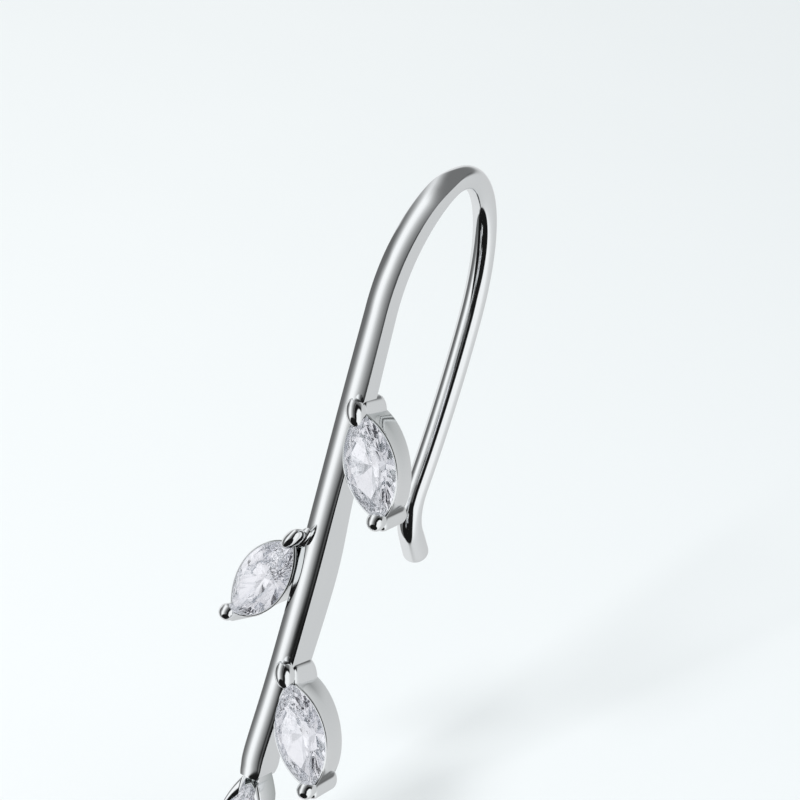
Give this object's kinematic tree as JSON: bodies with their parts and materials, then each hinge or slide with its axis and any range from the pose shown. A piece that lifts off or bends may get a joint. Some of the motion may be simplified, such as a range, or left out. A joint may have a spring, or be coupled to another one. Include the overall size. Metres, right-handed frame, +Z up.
{
  "type": "drop earring",
  "caption": "Drop earring with a fish-hook ear wire that flows into a straight stem with marquise stones set as leaves on both sides.",
  "frame": {"origin": "inner top of the hook's bend, where the wire hangs in the ear lobe", "axes": "+Z up, -Y the way the stones face, +X to the right seen from the front"},
  "size_m": [0.0056, 0.0107, 0.028],
  "materials": {
    "white_metal": "high polish, as rhodium-plated silver",
    "clear_stone": "clear, polished facets"
  },
  "bodies": {
    "root": {"earring_frame": "white_metal", "stone_1": "clear_stone", "stone_2": "clear_stone", "stone_3": "clear_stone", "stone_4": "clear_stone"}
  },
  "joints": []
}
